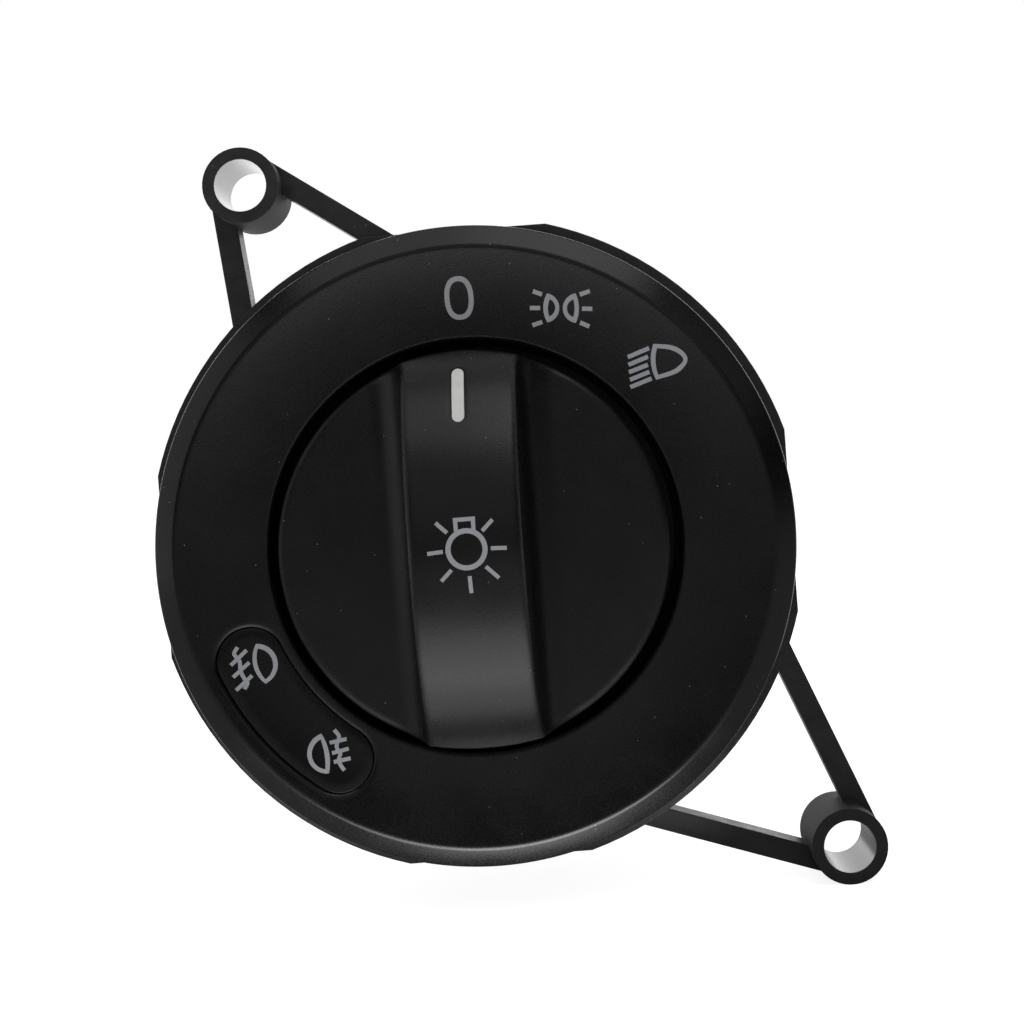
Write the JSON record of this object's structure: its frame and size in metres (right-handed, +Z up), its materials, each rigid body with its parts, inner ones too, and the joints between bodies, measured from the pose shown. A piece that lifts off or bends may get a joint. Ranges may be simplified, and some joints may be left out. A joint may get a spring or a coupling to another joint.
{
  "type": "headlight switch",
  "caption": "Round rotary headlight switch: black dial bezel with light symbols, arched turn and pull knob, housing with screw ears, rear plug socket.",
  "frame": {"origin": "on the dial's axis, in the plane of the housing flange where the back of the trim panel rests, which is also the back end of the bezel's round skirt", "axes": "-Y out of the dial towards the driver, +Z up with the pointer at off, +X to the right as the driver sees it"},
  "size_m": [0.0836, 0.0634, 0.0925],
  "materials": {
    "bezel_black": "fine satin grain",
    "knob_black": "fine satin grain",
    "housing_black": "as moulded",
    "cover_black": "as moulded",
    "window_smoke": "dark clear, slightly glossy",
    "guide_clear": "clear",
    "pointer_white": "milky",
    "rotor_natural": "as moulded",
    "spindle_grey": "as moulded",
    "contact_brass": "rolled strip",
    "spring_steel": "rolled strip",
    "board_green": "solder mask",
    "lamp_white": "moulded lamp",
    "resistor_black": "ceramic",
    "screw_zinc": "zinc plated"
  },
  "bodies": {
    "housing": {"bezel": "bezel_black", "fog_window": "window_smoke", "dial_light_guide": "guide_clear", "fog_light_pipes": "guide_clear", "switch_housing": "housing_black", "turn_detent_spring": "spring_steel", "fog_contact_leaves": "contact_brass", "lamp_board": "board_green", "illumination_leds": "lamp_white", "fog_leds": "lamp_white", "contact_board": "board_green", "board_pins": "contact_brass", "board_resistors": "resistor_black", "terminal_blades": "contact_brass", "rear_cover": "cover_black", "cover_screws": "screw_zinc"},
    "rotor": {"rotor": "rotor_natural", "rotor_contact": "contact_brass", "pull_detent_spring": "spring_steel"},
    "knob": {"knob_cap": "knob_black", "knob_pointer": "pointer_white", "knob_light_guide": "guide_clear", "knob_spindle": "spindle_grey", "spindle_clip": "spring_steel", "fog_contact_ring": "contact_brass"}
  },
  "joints": [
    {"name": "knob_turn", "type": "hinge", "parent": "housing", "child": "rotor", "pos_m": [0, 0, 0], "axis": [0, 1, 0], "range_deg": [0, 50], "deforming": ["turn_detent_spring"]},
    {"name": "knob_pull", "type": "slide", "parent": "rotor", "child": "knob", "axis": [0, -1, 0], "range_m": [0, 0.006], "deforming": ["pull_detent_spring"]}
  ]
}
